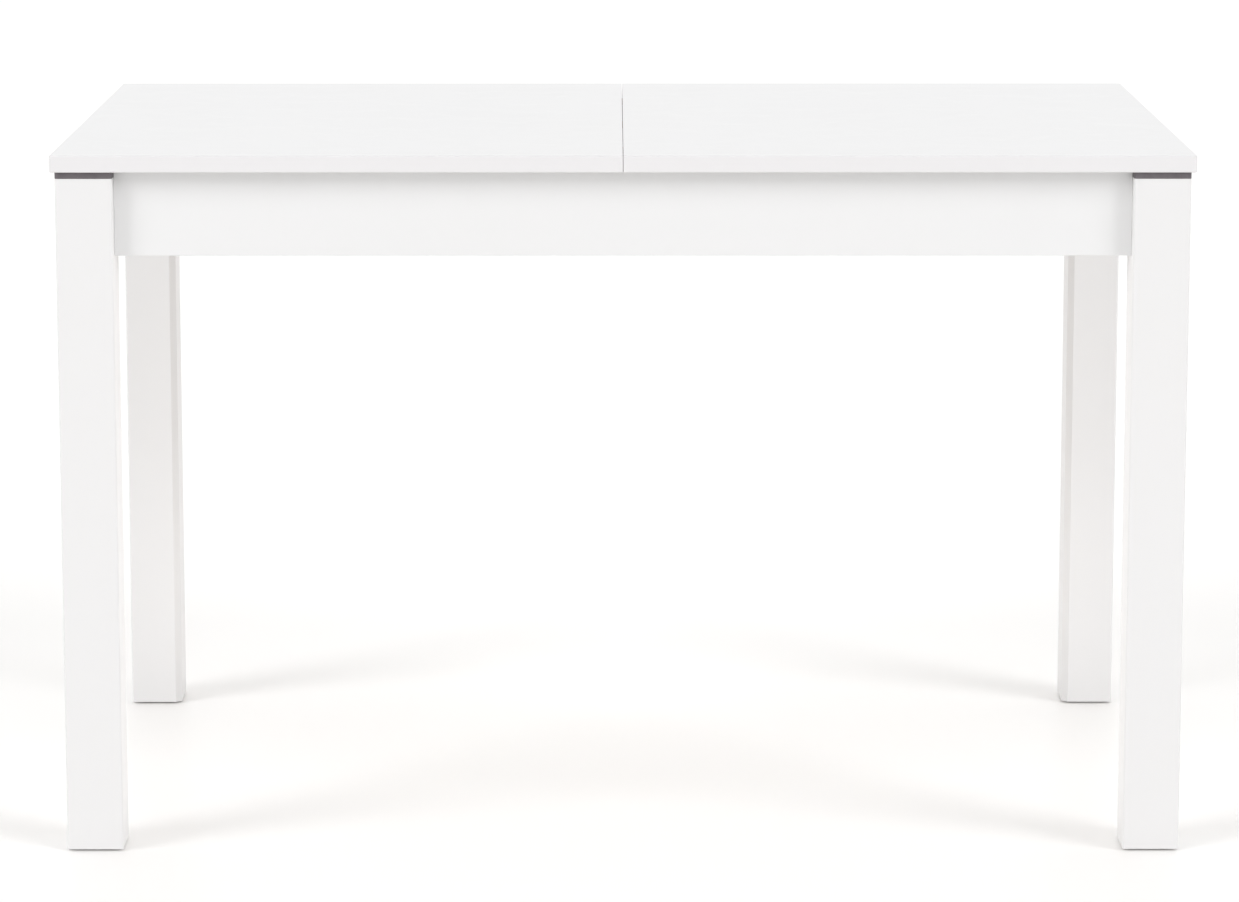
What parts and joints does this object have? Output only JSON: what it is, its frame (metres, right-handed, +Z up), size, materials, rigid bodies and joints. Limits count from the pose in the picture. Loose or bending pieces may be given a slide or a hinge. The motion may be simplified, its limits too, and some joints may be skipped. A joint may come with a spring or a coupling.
{
  "type": "extendable dining table",
  "caption": "White rectangular dining table on square corner legs; its top is two halves that slide apart on ball slides over a leaf stored inside the frame.",
  "frame": {"origin": "on the floor under the middle of the closed top", "axes": "+Z up, +X along the table's length towards its right end as seen from the front, -Y towards the front"},
  "size_m": [1.2, 0.75, 0.75],
  "materials": {
    "leg_white": "satin white foil on a solid wood core",
    "board_white": "satin white melamine on chipboard",
    "edge_white": "satin white ABS edge band",
    "spacer_grey": "moulded dark grey plastic",
    "glide_plastic": "moulded pale plastic",
    "beech": "planed beech, unfinished",
    "zinc_plate": "zinc plated pressed steel",
    "slide_steel": "zinc plated cold rolled steel",
    "cage_steel": "thin rolled steel, lightly greased",
    "ball_steel": "polished bearing steel",
    "screw_steel": "zinc plated steel fasteners",
    "felt": "grey needle felt"
  },
  "bodies": {
    "frame": {"apron_dowels": "beech", "corner_bracket_front_left": "zinc_plate", "corner_bracket_front_right": "zinc_plate", "corner_bracket_rear_left": "zinc_plate", "corner_bracket_rear_right": "zinc_plate", "corner_bracket_screws": "screw_steel", "foot_glides": "glide_plastic", "hanger_bolt_nuts": "screw_steel", "hanger_bolt_washers": "screw_steel", "hanger_bolts": "screw_steel", "leaf_pads": "felt", "leaf_rail_left": "beech", "leaf_rail_right": "beech", "leaf_stop_blocks": "beech", "leg_front_left": "leg_white", "leg_front_right": "leg_white", "leg_rear_left": "leg_white", "leg_rear_right": "leg_white", "leg_spacer_front_left": "spacer_grey", "leg_spacer_front_right": "spacer_grey", "leg_spacer_rear_left": "spacer_grey", "leg_spacer_rear_right": "spacer_grey", "leg_spacer_screws": "screw_steel", "long_apron_front": "board_white", "long_apron_rear": "board_white", "rail_dowels": "beech", "short_apron_left": "board_white", "short_apron_right": "board_white", "slide_channel_front": "slide_steel", "slide_channel_rear": "slide_steel", "slide_channel_screws": "screw_steel"},
    "left_top": {"top_panel_left": "board_white", "edge_bands_left": "edge_white", "top_batten_front_left": "beech", "top_batten_rear_left": "beech", "slide_runner_front_left": "slide_steel", "slide_runner_rear_left": "slide_steel", "batten_screws_left": "screw_steel", "runner_screws_left": "screw_steel", "latch_pivots": "screw_steel"},
    "right_top": {"top_panel_right": "board_white", "edge_bands_right": "edge_white", "top_batten_front_right": "beech", "top_batten_rear_right": "beech", "slide_runner_front_right": "slide_steel", "slide_runner_rear_right": "slide_steel", "batten_screws_right": "screw_steel", "runner_screws_right": "screw_steel", "latch_studs": "screw_steel", "seam_dowels": "beech"},
    "left_cages": {"ball_cages_left": "cage_steel", "slide_balls_left": "ball_steel"},
    "right_cages": {"ball_cages_right": "cage_steel", "slide_balls_right": "ball_steel"},
    "front_latch": {"latch_hook_front": "zinc_plate"},
    "rear_latch": {"latch_hook_rear": "zinc_plate"},
    "stored_leaf": {"leaf_panel": "board_white", "leaf_edge_bands": "edge_white", "leaf_dowels": "beech"}
  },
  "joints": [
    {"name": "left_top_slide", "type": "slide", "parent": "frame", "child": "left_top", "axis": [-1, 0, 0], "range_m": [0, 0.2]},
    {"name": "right_top_slide", "type": "slide", "parent": "frame", "child": "right_top", "axis": [1, 0, 0], "range_m": [0, 0.2]},
    {"name": "left_cages_roll", "type": "slide", "parent": "frame", "child": "left_cages", "axis": [-1, 0, 0], "range_m": [0, 0.1]},
    {"name": "right_cages_roll", "type": "slide", "parent": "frame", "child": "right_cages", "axis": [1, 0, 0], "range_m": [0, 0.1]},
    {"name": "front_latch_pivot", "type": "hinge", "parent": "left_top", "child": "front_latch", "pos_m": [-0.028, -0.228, 0.7277], "axis": [0, 0, 1], "range_deg": [0, 90]},
    {"name": "rear_latch_pivot", "type": "hinge", "parent": "left_top", "child": "rear_latch", "pos_m": [-0.028, 0.228, 0.7277], "axis": [0, 0, -1], "range_deg": [0, 90]},
    {"name": "leaf_lift", "type": "slide", "parent": "frame", "child": "stored_leaf", "axis": [0, 0, 1], "range_m": [0, 0.036]}
  ],
  "couplings": [
    {"joint": "left_cages_roll", "follows": "left_top_slide", "ratio": 0.5},
    {"joint": "right_cages_roll", "follows": "right_top_slide", "ratio": 0.5}
  ]
}
